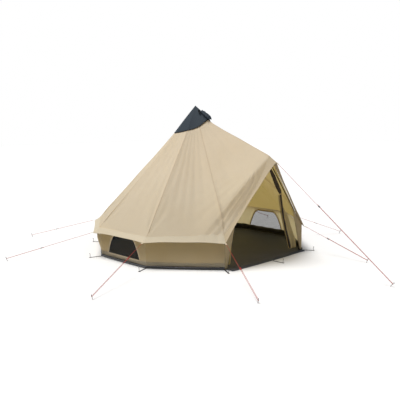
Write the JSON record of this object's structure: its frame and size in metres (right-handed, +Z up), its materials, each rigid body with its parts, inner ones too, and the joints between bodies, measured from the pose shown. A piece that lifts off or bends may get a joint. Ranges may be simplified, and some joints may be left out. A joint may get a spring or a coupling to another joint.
{
  "type": "bell tent",
  "caption": "Canvas bell tent: many-sided cone roof on low walls, A-frame door standing open, vent cap, centre pole, zipped-in groundsheet and pegged guy ropes with sliding runners.",
  "frame": {"origin": "on the ground under the centre pole, in the plane of the groundsheet's underside", "axes": "+Z up along the centre pole; the door faces -Y; +X is to the right when seen from the door side"},
  "size_m": [7.5195, 8.6205, 2.98],
  "materials": {
    "roof_canvas": "woven",
    "hem_canvas": "woven",
    "wall_canvas": "woven",
    "curtain_canvas": "woven",
    "rope": "braided",
    "runner_red": "satin",
    "runner_dark": "satin",
    "window_mesh": "mesh",
    "cap_cloth": "coated weave",
    "pole_plastic": "satin",
    "pole_steel": "galvanised",
    "foot_rubber": "matt",
    "floor_sheet": "coated weave",
    "edge_sheet": "coated weave",
    "net_cloth": "fine net",
    "dark_webbing": "webbing",
    "peg_steel": "zinc plated"
  },
  "bodies": {
    "tent": {"a_frame_feet": "foot_rubber", "a_frame_leg_left": "pole_steel", "a_frame_leg_right": "pole_steel", "a_frame_peak_joint": "pole_plastic", "base_pegs": "peg_steel", "base_straps": "dark_webbing", "centre_pole_collar": "pole_plastic", "centre_pole_foot": "pole_plastic", "centre_pole_lower": "pole_steel", "centre_pole_upper": "pole_steel", "door_brow": "hem_canvas", "door_curtain_left": "curtain_canvas", "door_curtain_right": "curtain_canvas", "door_net_roll": "net_cloth", "eave_band": "hem_canvas", "groundsheet_edge": "edge_sheet", "groundsheet_floor": "floor_sheet", "guy_pegs": "peg_steel", "guy_rope_back": "rope", "guy_rope_back_left": "rope", "guy_rope_back_right": "rope", "guy_rope_door_peak": "rope", "guy_rope_front_left": "rope", "guy_rope_front_right": "rope", "guy_rope_left": "rope", "guy_rope_rear_left": "rope", "guy_rope_rear_right": "rope", "guy_rope_right": "rope", "guy_tabs": "dark_webbing", "roof_panel_back_left": "roof_canvas", "roof_panel_back_right": "roof_canvas", "roof_panel_front_left": "roof_canvas", "roof_panel_front_right": "roof_canvas", "roof_panel_left": "roof_canvas", "roof_panel_rear_left": "roof_canvas", "roof_panel_rear_right": "roof_canvas", "roof_panel_right": "roof_canvas", "vent_cap": "cap_cloth", "vent_hood": "cap_cloth", "wall_panel_back_left": "wall_canvas", "wall_panel_back_right": "wall_canvas", "wall_panel_front_left": "wall_canvas", "wall_panel_front_right": "wall_canvas", "wall_panel_left": "wall_canvas", "wall_panel_rear_left": "wall_canvas", "wall_panel_rear_right": "wall_canvas", "wall_panel_right": "wall_canvas", "wedge_panel_left": "roof_canvas", "wedge_panel_right": "roof_canvas", "window_meshes": "window_mesh"},
    "runner_front_left": {"guy_runner_front_left": "runner_red"},
    "runner_left": {"guy_runner_left": "runner_red"},
    "runner_rear_left": {"guy_runner_rear_left": "runner_dark"},
    "runner_back_left": {"guy_runner_back_left": "runner_dark"},
    "runner_back": {"guy_runner_back": "runner_dark"},
    "runner_back_right": {"guy_runner_back_right": "runner_dark"},
    "runner_rear_right": {"guy_runner_rear_right": "runner_dark"},
    "runner_right": {"guy_runner_right": "runner_dark"},
    "runner_front_right": {"guy_runner_front_right": "runner_dark"},
    "runner_door_peak": {"guy_runner_door_peak": "runner_dark"}
  },
  "joints": [
    {"name": "front_left_runner_slide", "type": "slide", "parent": "tent", "child": "runner_front_left", "axis": [0.5059, 0.8305, 0.2332], "range_m": [-0.25, 0.25]},
    {"name": "left_runner_slide", "type": "slide", "parent": "tent", "child": "runner_left", "axis": [0.8612, 0.4481, 0.24], "range_m": [-0.25, 0.25]},
    {"name": "rear_left_runner_slide", "type": "slide", "parent": "tent", "child": "runner_rear_left", "axis": [0.7967, -0.5455, 0.2603], "range_m": [-0.25, 0.25]},
    {"name": "back_left_runner_slide", "type": "slide", "parent": "tent", "child": "runner_back_left", "axis": [0.4178, -0.8732, 0.2509], "range_m": [-0.25, 0.25]},
    {"name": "back_runner_slide", "type": "slide", "parent": "tent", "child": "runner_back", "axis": [-0.0043, -0.9665, 0.2565], "range_m": [-0.25, 0.25]},
    {"name": "back_right_runner_slide", "type": "slide", "parent": "tent", "child": "runner_back_right", "axis": [-0.5415, -0.7983, 0.2635], "range_m": [-0.25, 0.25]},
    {"name": "rear_right_runner_slide", "type": "slide", "parent": "tent", "child": "runner_rear_right", "axis": [-0.9067, -0.3234, 0.2709], "range_m": [-0.25, 0.25]},
    {"name": "right_runner_slide", "type": "slide", "parent": "tent", "child": "runner_right", "axis": [-0.7876, 0.511, 0.3444], "range_m": [-0.25, 0.25]},
    {"name": "front_right_runner_slide", "type": "slide", "parent": "tent", "child": "runner_front_right", "axis": [0.0441, 0.9556, 0.2914], "range_m": [-0.25, 0.25]},
    {"name": "door_peak_runner_slide", "type": "slide", "parent": "tent", "child": "runner_door_peak", "axis": [0.0025, 0.7921, 0.6104], "range_m": [-0.45, 0.45]}
  ]
}
